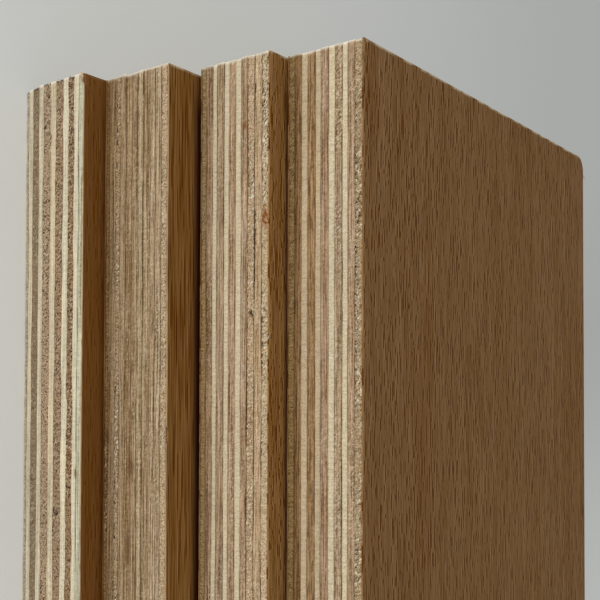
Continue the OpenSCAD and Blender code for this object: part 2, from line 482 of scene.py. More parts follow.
# Torn fibres on a front edge: sheet, ply, two distances from the uneven end, fibres a millimetre, their
# length, their lean from straight up towards the other end in degrees, and how much the lean varies
FIBRES = (
    (4, 1, 0.3, 24.0, 1.5, 1.2, -38, 14),
    (4, 1, 24.0, 95.0, 0.7, 0.9, -40, 25),
    (4, 8, 1.0, 12.0, 2.4, 0.8, -40, 60),
    (4, 8, 12.0, 95.0, 1.2, 0.6, -40, 60),
    (4, 11, 1.0, 40.0, 2.4, 0.7, -50, 60),
    (4, 11, 40.0, 95.0, 1.6, 0.6, -50, 60),
    (3, 1, 1.0, 60.0, 1.6, 0.7, -50, 16),
    (3, 9, 16.0, 46.0, 2.0, 0.9, -48, 14),
    (3, 9, 49.0, 95.0, 1.8, 0.8, -48, 18),
    (3, 11, 0.3, 14.0, 3.0, 0.8, 60, 40),
    (3, 11, 35.0, 95.0, 2.4, 0.6, -50, 50),
    (2, 3, 2.0, 40.0, 1.2, 0.5, -40, 40),
    (2, 3, 60.0, 95.0, 1.8, 0.7, -45, 25),
    (2, 11, 2.0, 95.0, 1.0, 0.4, -40, 60),
    (1, 5, 30.0, 95.0, 0.8, 0.4, -40, 60),
    (1, 9, 60.0, 85.0, 1.5, 0.5, -40, 60),
)
# Half width of a fibre, how far it is sunk in, bulges and stands out, and how much of the painted nook shade
# it gets
FIBRE_HALF, FIBRE_SUNK, FIBRE_BULGE, FIBRE_OUT, FIBRE_SHADE = 0.055, 0.08, 0.12, 0.1, 0.45
# A lone splinter: sheet, root and tip as millimetres along, back from the front and up, and half width
SPLINTERS = (
    (3, (54.6, -0.05, 16.6), (52.6, -0.4, 18.0), 0.14),
    (4, (4.2, 104.9, 17.0), (5.6, 106.8, 17.1), 0.18),
    (4, (0.5, 0.9, 17.17), (0.7, 1.5, 17.22), 0.16),
    (1, (0.0, -0.05, 16.4), (2.0, -0.1, 16.7), 0.5),
    (1, (0.5, 0.02, 13.0), (-0.2, -0.1, 13.5), 0.16),
    (1, (0.5, 0.02, 10.2), (-0.15, -0.1, 9.7), 0.14),
    (1, (0.6, 0.02, 7.0), (-0.1, -0.12, 6.5), 0.16),
    (1, (0.7, 0.02, 3.6), (0.1, -0.1, 3.2), 0.14),
)


def sliver_points(root, tip, half, bulge):
    """Three-sided slivers: a small ring at the root, a full one bulging a third of the way up, and a tip."""
    way = (tip - root) / np.linalg.norm(tip - root, axis=1, keepdims=True)
    side = np.cross(way, (0.0, -1.0, 0.0))
    side = side / np.linalg.norm(side, axis=1, keepdims=True)
    lift = np.cross(side, way)
    turns = np.radians((90, 210, 330))[:, None, None]
    ring = half * (np.cos(turns) * side + np.sin(turns) * lift)
    middle = root + 0.35 * (tip - root) + bulge
    points = np.concatenate([root + 0.6 * ring, middle + ring, tip[None]])
    return points.transpose(1, 0, 2)


def sliver_mesh(name, points, shade):
    """Closed mesh of slivers of seven points each, with the shade that each of them lies in."""
    count, each = points.shape[:2]
    first = np.arange(count)[:, None, None] * each
    quads = first + np.array([[0, 1, 4, 3], [1, 2, 5, 4], [2, 0, 3, 5]])
    triangles = first + np.array([[2, 1, 0], [3, 4, 6], [4, 5, 6], [5, 3, 6]])
    mesh = fill_mesh(name, points.reshape(-1, 3), quads.reshape(-1, 4), triangles.reshape(-1, 3))
    add_mark(mesh, "shade", np.repeat(shade, each))
    return mesh


def torn_fibres(sheet):
    """Slivers of a sheet's front edge: each leans over its ply, with its root sunk in and its tip proud."""
    points, shade = [], []
    for row, (on_sheet, ply, start, stop, per_mm, length, lean, spread) in enumerate(FIBRES):
        if on_sheet != sheet:
            continue
        random = seeded(sheet, row, 20)
        count = round((stop - start) * per_mm)
        low, high = BOXES[sheet, ply][0][2], BOXES[sheet, ply][1][2]
        along = UNEVEN_END[sheet] + random.uniform(start, stop, count)
        long = length * random.uniform(0.5, 1.2, count)
        angle = np.radians(lean + spread * random.normal(0, 1, count))
        step, rise = long * np.sin(angle), long * np.cos(angle)
        foot = low + random.uniform(0.05, 0.6, count) * (high - low)
        head = np.clip(foot + rise, low, high + 0.05)
        out = FRONT[sheet] - FIBRE_OUT * random.uniform(0.2, 1, count)
        root = np.stack([along, np.full(count, FRONT[sheet] + FIBRE_SUNK), foot], 1)
        tip = np.stack([along + step, out, head], 1)
        half = FIBRE_HALF * random.uniform(0.6, 1.3, (count, 1))
        points.append(sliver_points(root, tip, half, np.array([0.0, -FIBRE_BULGE, 0.0])))
        # Each fibre gets part of the painted nook shade at its root
        shade.append(FIBRE_SHADE * nook_shade(sheet, foot - UNDERSIDE[sheet]))
    corner = np.array([UNEVEN_END[sheet], FRONT[sheet], UNDERSIDE[sheet]])
    lone = rows_of(SPLINTERS, sheet)
    if lone:
        root, tip, half = (np.array(values) for values in zip(*lone))
        points.append(sliver_points(corner + root, corner + tip, half[:, None], np.zeros(3)))
        shade.append(np.zeros(len(lone)))
    return sliver_mesh(f"sheet_{sheet}_fibres", np.concatenate(points), np.concatenate(shade))


def fill_mesh(name, points, quads, triangles):
    """Mesh of points in millimetres: smooth four-cornered faces, flat three-cornered ones, sharp edges."""
    mesh = bpy.data.meshes.new(name)
    corners = np.concatenate([quads.ravel(), triangles.ravel()])
    starts = np.concatenate([np.arange(len(quads)) * 4, quads.size + np.arange(len(triangles)) * 3])
    mesh.vertices.add(len(points))
    mesh.vertices.foreach_set("co", (points * MM).astype(np.float32).ravel())
    mesh.loops.add(len(corners))
    mesh.loops.foreach_set("vertex_index", corners.astype(np.int32))
    mesh.polygons.add(len(starts))
    mesh.polygons.foreach_set("loop_start", starts.astype(np.int32))
    mesh.update(calc_edges=True)
    mesh.set_sharp_from_angle(angle=math.radians(SHARP_FROM))
    flat = mesh.attributes.new("sharp_face", "BOOLEAN", "FACE")
    flat.data.foreach_set("value", np.arange(len(starts)) >= len(quads))
    return mesh


def add_mark(mesh, mark, values):
    """Stores a value at each point of a mesh, under the name of the mark."""
    layer = mesh.attributes.new(mark, "FLOAT", "POINT")
    layer.data.foreach_set("value", values.astype(np.float32))


def closed_rings(name, rings, marks):
    """Closed mesh of rings going up: faces join each ring to the next, a middle point closes each end."""
    rows, columns = rings.shape[:2]
    index = np.arange(rows * columns).reshape(rows, columns)
    after = np.roll(index, -1, 1)
    quads = np.stack([index[:-1], after[:-1], after[1:], index[1:]], 2).reshape(-1, 4)
    bottom, top = rows * columns, rows * columns + 1
    under = np.stack([np.full(columns, bottom), after[0], index[0]], 1)
    over = np.stack([index[-1], after[-1], np.full(columns, top)], 1)
    points = np.concatenate([rings.reshape(-1, 3), rings[:1].mean(1), rings[-1:].mean(1)])
    mesh = fill_mesh(name, points, quads, np.concatenate([under, over]))
    for mark, values in marks.items():
        add_mark(mesh, mark, np.append(values.ravel(), [0, 0]))
    return mesh


def break_arris(rings, marks, walk, side):
    """Breaks the edge of a veneer: the outer ring drops from the open side, and two rings lie level in it.

    A ring inside is the outer one drawn towards the middle, so that each side of it moves in by its inset.
    The pale edge reaches the first of them at the uneven end only, where it is partly a painted highlight,
    and no mark reaches the second.
    """
    outer, drop = (-1, -VENEER_ARRIS) if side == "face" else (0, VENEER_ARRIS)
    low, high = walk.spots.min(0), walk.spots.max(0)
    middle, half = np.append((low + high) / 2, 0), (high - low) / 2
    shrunk = [np.append(1 - inset / half, 1) for inset in ARRIS_INSETS]
    inner = [(middle + (rings[outer] - middle) * share)[None] for share in shrunk]
    rings[outer, :, 2] += drop
    order = slice(None) if side == "face" else slice(None, None, -1)
    at_end = np.clip(-walk.out[:, 0], 0, 1)
    rings = np.concatenate([rings, *inner][order])
    rims = {mark: values[outer][None] * at_end * (mark == "edge") for mark, values in marks.items()}
    rows = {mark: [values, rims[mark], 0 * rims[mark]] for mark, values in marks.items()}
    return rings, {mark: np.concatenate(values[order]) for mark, values in rows.items()}


def place(name, mesh, material, slot, *nodes):
    """Puts a mesh into the scene, wearing a material, riding on the stack and standing for its nodes."""
    piece = bpy.data.objects.new(name, mesh)
    bpy.context.scene.collection.objects.link(piece)
    mesh.materials.append(material)
    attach(piece, "root")
    if nodes:
        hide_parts(*nodes)


# Finishes


def tone(red, green, blue):
    """Colour of a tone that is given as it looks, from 0 to 255 a channel."""
    share = np.array([red, green, blue]) / 255
    linear = np.where(share <= 0.04045, share / 12.92, ((share + 0.055) / 1.055) ** 2.4)
    return (*linear.tolist(), 1.0)


# How fast a colour follows a change of light in wood, how little light is left in the darkest grain, and how
# little of any colour
SHADE_RATE, DARKEST, LEAST = 1.2, 0.36, (0.02, 0.02, 0.02)


def shade_rates(base):
    """How fast red, green and blue follow a change of light, so that all three seem to change alike."""
    return tuple((SHADE_RATE * np.mean(base) / np.array(base)).tolist())


class Wiring:
    """Puts nodes into a tree. A method takes sockets or plain values and gives back its result."""

    def __init__(self, tree):
        self.tree = tree

    def node(self, kind, inputs, **settings):
        """New node with its settings, and its inputs linked or set."""
        made = self.tree.nodes.new(kind)
        for key, value in settings.items():
            setattr(made, key, value)
        for key, value in inputs.items():
            if isinstance(value, bpy.types.NodeSocket):
                self.tree.links.new(value, made.inputs[key])
            else:
                made.inputs[key].default_value = value
        return made

    def math(self, operation, a, b=0.0, c=0.0):
        return self.node("ShaderNodeMath", {0: a, 1: b, 2: c}, operation=operation).outputs[0]

    def times(self, a, b):
        return self.math("MULTIPLY", a, b)

    def vector_math(self, operation, a, b, c=(0.0, 0.0, 0.0)):
        return self.node("ShaderNodeVectorMath", {0: a, 1: b, 2: c}, operation=operation).outputs[0]

    def stretched(self, vector, along, upward=1.0):
        """The vector shortened along the grain and upward, so that a pattern on it is drawn out that way."""
        return self.vector_math("MULTIPLY", vector, (1 / along, 1.0, 1 / upward))

    def noise(self, vector, size, detail=2.0, roughness=0.5, distortion=0.0):
        """Cloudy noise from 0 to 1, with lumps of this size."""
        shape = {"Detail": detail, "Roughness": roughness, "Distortion": distortion}
        return self.node("ShaderNodeTexNoise", {"Vector": vector, "Scale": 1 / size, **shape}).outputs[0]

    def signed(self, noise):
        """Noise stretched to run from about -1 to 1."""
        span = {"From Min": 0.25, "From Max": 0.75, "To Min": -1.0}
        return self.node("ShaderNodeMapRange", {"Value": noise, **span}).outputs[0]

    def step(self, value, start, stop):
        """0 where the value is below start, 1 above stop, and smooth between."""
        inputs = {"Value": value, "From Min": start, "From Max": stop}
        return self.node("ShaderNodeMapRange", inputs, interpolation_type="SMOOTHSTEP").outputs[0]

    def mix(self, share, a, b, blend="MIX"):
        """The first colour turned by a share into the second, or into its blend with it."""
        inputs = {0: share, 6: a, 7: b}
        return self.node("ShaderNodeMix", inputs, data_type="RGBA", blend_type=blend).outputs[2]

    def shaded(self, colour, light, rates):
        """The colour made lighter or darker by 1 + rate * (light - 1), and never quite black."""
        change = self.vector_math("MULTIPLY_ADD", self.math("SUBTRACT", light, 1.0), rates, (1.0, 1.0, 1.0))
        return self.vector_math("MULTIPLY", colour, self.vector_math("MAXIMUM", change, LEAST))

    def attribute(self, name):
        """Mark that is stored at the points of a mesh."""
        return self.node("ShaderNodeAttribute", {}, attribute_name=name).outputs["Fac"]

    def separate(self, vector):
        return self.node("ShaderNodeSeparateXYZ", {0: vector}).outputs

    def finish(self, inputs):
        """Ends a material in a shader."""
        shader = self.node("ShaderNodeBsdfPrincipled", inputs)
        self.node("ShaderNodeOutputMaterial", {"Surface": shader.outputs[0]})


def new_group(name, inputs, outputs):
    """Empty node group with named inputs and outputs by kind, its wiring, and the sockets at both ends."""
    group = bpy.data.node_groups.new(name, "ShaderNodeTree")
    for way, kinds in (("INPUT", inputs), ("OUTPUT", outputs)):
        for kind, labels in kinds.items():
            for label in labels:
                group.interface.new_socket(label, in_out=way, socket_type=kind)
    given = group.nodes.new("NodeGroupInput").outputs
    result = group.nodes.new("NodeGroupOutput").inputs
    return group, Wiring(group), given, result


VECTOR, FLOAT, COLOUR = "NodeSocketVector", "NodeSocketFloat", "NodeSocketColor"
# What a timber and a face have more or less of
FACE_AMOUNTS = ("Pore Amount", "Pore Length", "Streak Amount", "Ribbon Amount")
AMOUNTS = ("Streak Amount", "Band Amount", "Pore Amount", "Fleck Amount", "Pit Amount", "Rib Amount")
# How far the curled tufts lean, in degrees, and how strong the ticks are beside the streaks, and the drift
CURL_LEAN, TICK_SHARE, DRIFT_SHARE = 45, 0.45, 0.06
# What a warmer stretch of wood lets through of each colour, and the painted shade in the nooks
WARM_TINT = (1.0, 0.965, 0.9, 1.0)
NOOK_SHADE_TINT = (0.42, 0.33, 0.2, 1.0)
# Tones of what lies on a sawn edge, among them painted shade in pits and hollows, and how much of the glue,
# smudges and painted highlights on the rims shows
PORE_AND_PIT_SHADE_TONE, FLECK_TONE, GLUE_TONE = (74, 50, 30), (228, 214, 184), (72, 46, 26)
STAIN_TONE, STAIN_DEEP_TONE, SMUDGE_TONE = (186, 124, 66), (126, 74, 34), (98, 68, 40)
RIM_HIGHLIGHT_TONE, HOLLOW_SHADE_TONE = (243, 234, 212), (48, 28, 15)
GLUE_SHARE, SMUDGE_SHARE, RIM_HIGHLIGHT_SHARE = 0.9, 0.8, 0.75
# How rough and shiny bare wood is, and how much rougher its pores are
EDGE_ROUGH, PORE_ROUGH, FACE_ROUGH, FIBRE_ROUGH, SHINE = 0.74, 0.1, 0.68, 0.75, 0.08
# How high the grain of the edges and of the faces stands up
EDGE_BUMP, FACE_BUMP = 0.07, 0.05


def make_peeled_figure():
    """Figure of a peeled veneer, in millimetres with the grain along the first axis of Vector.

    Streak: fine fibres. Ticks: short ones. Band: slow change of tone. Drift: slow change from ply to ply and
    along the sheet. Ribs: marks of the saw across the ply. Pores: dashes along the grain, dots on end grain.
    Flecks and pits: curled tufts that lean over the edge, and the gaps between them as painted shade,
    whatever the grain.
    """
    labels = ("Streak", "Ticks", "Band", "Drift", "Ribs", "Pores", "Flecks", "Pits")
    group, w, given, result = new_group("peeled_figure", {VECTOR: ("Vector", "Place")}, {FLOAT: labels})
    vector, spot = given["Vector"], given["Place"]
    lean = {"Vector": spot, "Angle": math.radians(CURL_LEAN)}
    curled = w.node("ShaderNodeVectorRotate", lean, rotation_type="Y_AXIS").outputs[0]
    tufts = w.noise(w.stretched(curled, 1, 1.9), 0.36, 1, 0.6, 0.7)
    figures = {
        "Streak": w.signed(w.noise(w.stretched(vector, 60), 0.26, 1, 0.6)),
        "Ticks": w.signed(w.noise(w.stretched(vector, 3.5), 0.2, 1, 0.6)),
        "Band": w.signed(w.noise(w.stretched(vector, 40), 1.7, 2, 0.5)),
        "Drift": w.signed(w.noise(w.stretched(spot, 16), 1.5, 1, 0.5)),
        "Ribs": w.signed(w.noise(w.stretched(vector, 1, 6), 0.33, 1, 0.5)),
        "Pores": w.step(w.noise(w.stretched(vector, 12), 0.3, 1, 0.5), 0.56, 0.64),
        "Flecks": w.step(tufts, 0.54, 0.64),
        "Pits": w.step(tufts, 0.44, 0.35),
    }
    for label, figure in figures.items():
        group.links.new(figure, result[label])
    return group


def make_sawn_edge(figure):
    """Look of a sawn veneer edge.

    The tone goes to the second tone by the bands, and is made darker and lighter by streaks, bands, drift
    and ribs. Dark pores, pits of painted shade and pale flecks lie on it, then the glue, stains, smudges, a
    painted highlight on the rims at the uneven end, and painted shade in the nooks and hollows.
    """
    inputs = {VECTOR: ("Vector", "Place", "Rates"), COLOUR: ("Tone", "Second Tone")}
    inputs[FLOAT] = (*AMOUNTS, *(mark.capitalize() for mark in MARKS))
    outputs = {COLOUR: ("Color",), FLOAT: ("Height", "Roughness")}
    group, w, given, result = new_group("sawn_edge", inputs, outputs)
    places = {"Vector": given["Vector"], "Place": given["Place"]}
    parts = w.node("ShaderNodeGroup", places, node_tree=figure).outputs
    streak = w.math("MULTIPLY_ADD", parts["Ticks"], TICK_SHARE, parts["Streak"])
    streak = w.times(streak, given["Streak Amount"])
    light = w.math("MULTIPLY_ADD", parts["Drift"], DRIFT_SHARE, 1.0)
    light = w.math("MULTIPLY_ADD", parts["Ribs"], given["Rib Amount"], light)
    light = w.math("MULTIPLY_ADD", parts["Band"], given["Band Amount"], light)
    light = w.math("MAXIMUM", w.math("ADD", light, streak), DARKEST)
    colour = w.mix(w.step(parts["Band"], -0.3, 0.3), given["Tone"], given["Second Tone"])
    colour = w.mix(w.step(parts["Drift"], 0.0, 0.9), colour, WARM_TINT, "MULTIPLY")
    colour = w.shaded(colour, light, given["Rates"])
    pores = w.times(parts["Pores"], given["Pore Amount"])
    # Pits are painted shade in the gaps between tufts
    pits = w.times(w.times(parts["Pits"], given["Pit Amount"]), given["Torn"])
    flecks = w.times(w.times(parts["Flecks"], given["Fleck Amount"]), given["Torn"])
    dark = w.math("MAXIMUM", pores, pits)
    colour = w.mix(dark, colour, tone(*PORE_AND_PIT_SHADE_TONE))
    colour = w.mix(flecks, colour, tone(*FLECK_TONE))
    colour = w.mix(w.times(given["Glue"], GLUE_SHARE), colour, tone(*GLUE_TONE))
    patchy = w.step(w.noise(w.stretched(given["Vector"], 2), 0.7, 2), 0.36, 0.6)
    stain = w.times(given["Stain"], w.math("MULTIPLY_ADD", patchy, 0.5, 0.5))
    colour = w.mix(stain, colour, w.mix(patchy, tone(*STAIN_TONE), tone(*STAIN_DEEP_TONE)))
    colour = w.mix(w.times(given["Smudge"], SMUDGE_SHARE), colour, tone(*SMUDGE_TONE))
    # Painted highlight on the rims at the uneven end
    colour = w.mix(given["Worn"], colour, w.mix(RIM_HIGHLIGHT_SHARE, colour, tone(*RIM_HIGHLIGHT_TONE)))
    # Painted shade in the nook over the sheet below
    colour = w.mix(given["Nook"], colour, NOOK_SHADE_TINT, "MULTIPLY")
    # Painted shade in the hollows
    colour = w.mix(given["Hollow"], colour, tone(*HOLLOW_SHADE_TONE))
    height = w.math("ADD", streak, w.math("SUBTRACT", flecks, dark))
    group.links.new(colour, result["Color"])
    group.links.new(height, result["Height"])
    group.links.new(w.math("MULTIPLY_ADD", pores, PORE_ROUGH, EDGE_ROUGH), result["Roughness"])
    return group


SAWN_EDGE = make_sawn_edge(make_peeled_figure())

# A timber: tone, second tone, how strong its streaks, bands, pores, flecks, pits of painted shade and ribs
# are, and how far its end grain and side grain stand up
Timber = namedtuple("Timber", "tone second streak band pore fleck pit rib rough_end rough_side")
TIMBERS = {
    "cream": Timber((213, 197, 166), (205, 189, 156), 0.2, 0.08, 0.08, 0.24, 0.12, 0.12, 0.02, 0.015),
    "straw": Timber((196, 175, 142), (189, 169, 137), 0.18, 0.08, 0.08, 0.2, 0.12, 0.12, 0.02, 0.015),
    "white_cream": Timber((217, 207, 180), (209, 198, 170), 0.22, 0.12, 0.08, 0.26, 0.16, 0.1, 0.02, 0.015),
    "dull_cream": Timber((204, 191, 166), (196, 182, 155), 0.24, 0.12, 0.1, 0.26, 0.18, 0.1, 0.02, 0.015),
    "wavy_cream": Timber((209, 194, 165), (201, 185, 154), 0.26, 0.14, 0.1, 0.3, 0.2, 0.1, 0.03, 0.02),
    "green_cream": Timber((204, 193, 164), (186, 182, 155), 0.5, 0.28, 0.15, 0.1, 0.1, 0.12, 0.03, 0.02),
    "golden_brown": Timber((159, 127, 89), (148, 116, 78), 0.6, 0.2, 0.6, 0.06, 0.12, 0.08, 0.03, 0.025),
    "rose_brown": Timber((174, 144, 115), (160, 130, 101), 0.62, 0.22, 0.35, 0.3, 0.2, 0.12, 0.04, 0.03),
    "pink_brown": Timber((180, 151, 121), (167, 138, 108), 0.62, 0.22, 0.35, 0.3, 0.2, 0.12, 0.04, 0.03),
    "grey_brown": Timber((173, 148, 118), (160, 134, 104), 0.6, 0.2, 0.35, 0.3, 0.2, 0.12, 0.04, 0.03),
    "torn_brown": Timber((177, 152, 122), (163, 137, 107), 0.6, 0.22, 0.4, 0.45, 0.45, 0.12, 0.08, 0.06),
    "fuzzy_tan": Timber((181, 156, 122), (168, 142, 108), 0.4, 0.2, 0.45, 0.95, 0.85, 0.14, 0.14, 0.05),
    "fuzzy_pale": Timber((203, 180, 145), (193, 168, 133), 0.4, 0.2, 0.4, 1.0, 0.75, 0.14, 0.14, 0.05),
    "olive_tan": Timber((182, 157, 113), (168, 142, 98), 0.4, 0.2, 0.25, 0.24, 0.28, 0.34, 0.06, 0.04),
    "shaded_tan": Timber((172, 142, 100), (158, 127, 86), 0.5, 0.25, 0.4, 0.45, 0.5, 0.14, 0.08, 0.05),
    "soft_tan": Timber((194, 169, 135), (182, 155, 121), 0.5, 0.24, 0.4, 0.6, 0.6, 0.14, 0.08, 0.04),
    "warm_tan": Timber((196, 168, 133), (184, 154, 118), 0.5, 0.24, 0.4, 0.6, 0.2, 0.14, 0.08, 0.04),
    "dotted_pale": Timber((178, 154, 125), (167, 142, 113), 0.5, 0.2, 0.95, 0.28, 0.85, 0.12, 0.06, 0.03),
    "dotted_brown": Timber((166, 140, 111), (155, 128, 99), 0.45, 0.2, 0.95, 0.32, 0.8, 0.12, 0.06, 0.03),
    "dotted_dark": Timber((158, 129, 97), (145, 115, 83), 0.45, 0.2, 1.0, 0.45, 0.9, 0.12, 0.06, 0.03),
    "dotted_grey": Timber((144, 125, 99), (132, 113, 88), 0.45, 0.2, 0.45, 0.18, 0.4, 0.14, 0.05, 0.03),
    "weathered_grey": Timber((180, 173, 152), (160, 153, 133), 0.5, 0.26, 0.45, 0.35, 0.4, 0.12, 0.05, 0.03),
    "tan": Timber((166, 141, 109), (152, 126, 95), 0.62, 0.26, 0.4, 0.22, 0.2, 0.12, 0.04, 0.03),
    "brown_tan": Timber((160, 132, 97), (145, 117, 83), 0.65, 0.28, 0.4, 0.22, 0.2, 0.12, 0.04, 0.03),
    "torn_tan": Timber((174, 148, 115), (160, 133, 101), 0.55, 0.25, 0.45, 0.9, 0.55, 0.12, 0.09, 0.04),
    "pale_tan": Timber((178, 154, 123), (165, 140, 109), 0.6, 0.24, 0.35, 0.4, 0.2, 0.12, 0.04, 0.03),
    "pale_yellow": Timber((182, 160, 126), (171, 148, 114), 0.5, 0.24, 0.3, 0.35, 0.18, 0.12, 0.04, 0.03),
}
# The timber of each core ply, from the underside up
LAYUP = {
    1: "weathered_grey dull_cream dotted_grey dull_cream dotted_pale wavy_cream dotted_brown white_cream "
       "dotted_dark white_cream green_cream",
    2: "shaded_tan pale_tan torn_tan tan brown_tan tan pale_yellow tan pale_tan pale_tan soft_tan",
    3: "olive_tan pink_brown cream grey_brown cream pink_brown cream pink_brown warm_tan warm_tan "
       "fuzzy_pale",
    4: "olive_tan golden_brown straw golden_brown straw rose_brown cream torn_brown cream pink_brown "
       "fuzzy_tan",
}
# Cross plies that the saw has combed along the edge, so that they look like long ones
COMBED = ((1, 11), (2, 5), (2, 7), (2, 9))


def grain_vector(w, grain):
    """Place on the piece in millimetres, turned so that the first axis runs along its grain."""
    place = w.node("ShaderNodeTexCoord", {}).outputs["Object"]
    turn = (0, 0, 0) if grain == "long" else (0, 0, math.radians(90))
    inputs = {"Vector": place, "Rotation": turn, "Scale": (1 / MM,) * 3}
    return w.node("ShaderNodeMapping", inputs).outputs[0]


def new_material(name):
    """Empty material and its wiring."""
    material = bpy.data.materials.new(name)
    material.use_nodes = True
    material.node_tree.nodes.clear()
    return material, Wiring(material.node_tree)


def finish_wood(w, colour, roughness, height=None, bump=0.0):
    """Ends a material in bare wood, whose grain stands up by bump * height, in millimetres."""
    inputs = {"Base Color": colour, "Roughness": roughness, "Specular IOR Level": SHINE}
    if height is not None:
        rise = {"Height": height, "Distance": bump * MM, "Strength": 1.0}
        inputs["Normal"] = w.node("ShaderNodeBump", rise).outputs[0]
    w.finish(inputs)


def timber_material(name, grain):
    """Material of a timber's sawn edges, with its grain running along the sheet or across it."""
    label = f"{name}_{grain}"
    if label in bpy.data.materials:
        return bpy.data.materials[label]
    timber = TIMBERS[name]
    material, w = new_material(label)
    inputs = {
        "Vector": grain_vector(w, grain),
        "Place": grain_vector(w, "long"),
        "Tone": tone(*timber.tone),
        "Rates": shade_rates(timber.tone),
        "Second Tone": tone(*timber.second),
        **dict(zip(AMOUNTS, timber[2:])),
        **{mark.capitalize(): w.attribute(mark) for mark in MARKS},
    }
    look = w.node("ShaderNodeGroup", inputs, node_tree=SAWN_EDGE).outputs
    finish_wood(w, look["Color"], look["Roughness"], look["Height"], EDGE_BUMP)
    return material


# Pores of a face, coarse and fine: width of their columns, and how high the noise is where one starts and
# where it is full
COARSE_PORES, FINE_PORES = (0.42, 0.55, 0.64), (0.23, 0.5, 0.66)
# How strong the fine pores are, and the painted highlight on the lit wall beside pores
FINE_SHARE, PORE_LIT = 0.45, 0.35
# How far apart the noise of pairs of columns starts, and the slowest and fastest it runs
PORE_STARTS, PORE_RATES = 500.0, (0.6, 1.5)
# Tones of a face's sawn edge and of the painted shade on it by the next sheet, and what the warm ribbons let
# through
EDGE_TONE, NOOK_SHADE_TONE = (206, 186, 152), (38, 4, 0)
FACE_WARM = (1.0, 0.95, 0.86, 1.0)


def pore_dashes(w, vector, length, pitch, start, full):
    """Dashes along the grain, up to 1, with a painted highlight beside each, down to -PORE_LIT.

    The face is cut into columns that wander a little. Noise runs along each pair of them, from a start and
    at a rate of its own. One column has a dash where it is high and the other where it is low, and each has
    a painted highlight beside the other's dash, as on a pore's lit wall. Both fall off from the middle of a
    column by (1 - 4 a^2)^2, where a is the part of a column aside.
    """
    along, across, _ = w.separate(vector)
    wander = w.math("MULTIPLY_ADD", w.noise(w.stretched(vector, 40), 2.0, 1), 0.5, across)
    column = w.math("DIVIDE", wander, pitch)
    aside = w.math("SUBTRACT", w.math("FRACT", column), 0.5)
    middle = w.math("MULTIPLY_ADD", w.times(aside, aside), -4.0, 1.0)
    number = w.math("FLOOR", column)
    pair = w.math("FLOOR", w.times(number, 0.5))
    odd = w.math("MULTIPLY_ADD", pair, -2.0, number)
    place = w.node("ShaderNodeTexWhiteNoise", {"W": pair}, noise_dimensions="1D").outputs["Value"]
    slowest, fastest = PORE_RATES
    rate = w.math("MULTIPLY_ADD", place, fastest - slowest, slowest)
    run = w.times(w.math("DIVIDE", along, length), rate)
    run = w.math("MULTIPLY_ADD", place, PORE_STARTS, run)
    shape = {"W": run, "Scale": 1.0, "Detail": 2.0}
    noise = w.node("ShaderNodeTexNoise", shape, noise_dimensions="1D").outputs[0]
    high = w.math("ABSOLUTE", w.math("SUBTRACT", noise, odd))
    # Painted highlight beside each dash, as on a pore's lit wall
    lit = w.times(w.step(high, 1 - start, 1 - full), PORE_LIT)
    dash = w.math("SUBTRACT", w.step(high, start, full), lit)
    return w.times(w.times(middle, middle), dash)


def make_face_figure():
    """Look of a bare face veneer, in millimetres with the grain along the first axis.

    A brown tone, lighter, darker and warmer in broad ribbons and fine streaks. Open pores are dark dashes in
    a coarse set of columns and a fine one, with painted highlights beside them. Then come the pale sawn
    edge, with a painted highlight at the uneven end, and painted shade by the next sheet.
    """
    inputs = {VECTOR: ("Vector", "Rates"), COLOUR: ("Tone",), FLOAT: (*FACE_AMOUNTS, "Edge", "Nook")}
    group, w, given, result = new_group("face_figure", inputs, {COLOUR: ("Color",), FLOAT: ("Height",)})
    vector = given["Vector"]
    ribbon = w.signed(w.noise(w.stretched(vector, 20), 3.2, 2, 0.5))
    streak = w.signed(w.noise(w.stretched(vector, 50), 0.28, 1, 0.6))
    length = given["Pore Length"]
    coarse, fine = (pore_dashes(w, vector, length, *pores) for pores in (COARSE_PORES, FINE_PORES))
    pores = w.times(w.math("MULTIPLY_ADD", fine, FINE_SHARE, coarse), given["Pore Amount"])
    light = w.math("MULTIPLY_ADD", ribbon, given["Ribbon Amount"], 1.0)
    light = w.math("MULTIPLY_ADD", streak, given["Streak Amount"], light)
    light = w.math("MAXIMUM", w.math("SUBTRACT", light, pores), DARKEST)
    colour = w.mix(w.step(ribbon, 0.0, -1.0), given["Tone"], FACE_WARM, "MULTIPLY")
    colour = w.shaded(colour, light, given["Rates"])
    # The pale edge holds a painted highlight at the uneven end
    colour = w.mix(given["Edge"], colour, tone(*EDGE_TONE))
    # Painted shade by the front of the next sheet
    colour = w.mix(given["Nook"], colour, tone(*NOOK_SHADE_TONE))
    group.links.new(colour, result["Color"])
    group.links.new(w.math("SUBTRACT", w.times(streak, 0.2), pores), result["Height"])
    return group


FACE_FIGURE = make_face_figure()

# A face: tone, how strong its pores are, their length, and how strong its streaks and ribbons are
FACES = {
    1: ((127, 84, 38), 0.35, 5.0, 0.22, 0.12),
    2: ((134, 93, 45), 0.7, 20.0, 0.62, 0.2),
    3: ((147, 107, 60), 1.0, 4.0, 0.45, 0.08),
    4: ((140, 103, 62), 1.0, 5.5, 0.28, 0.09),
}
# Painted shade on a face by the front of the next sheet: how far it reaches, where it is full and how strong
# it is
FACE_NOOKS = {1: (1.6, 0.0, 0.5), 2: (3.2, 0.2, 1.0), 3: (1.4, 0.0, 0.8)}
# What is left of it at the uneven end, how far from there it is whole, and how strong it is on the backs
NOOK_AT_END, NOOK_OPENS, BACK_NOOK = 0.4, 9.0, 0.25


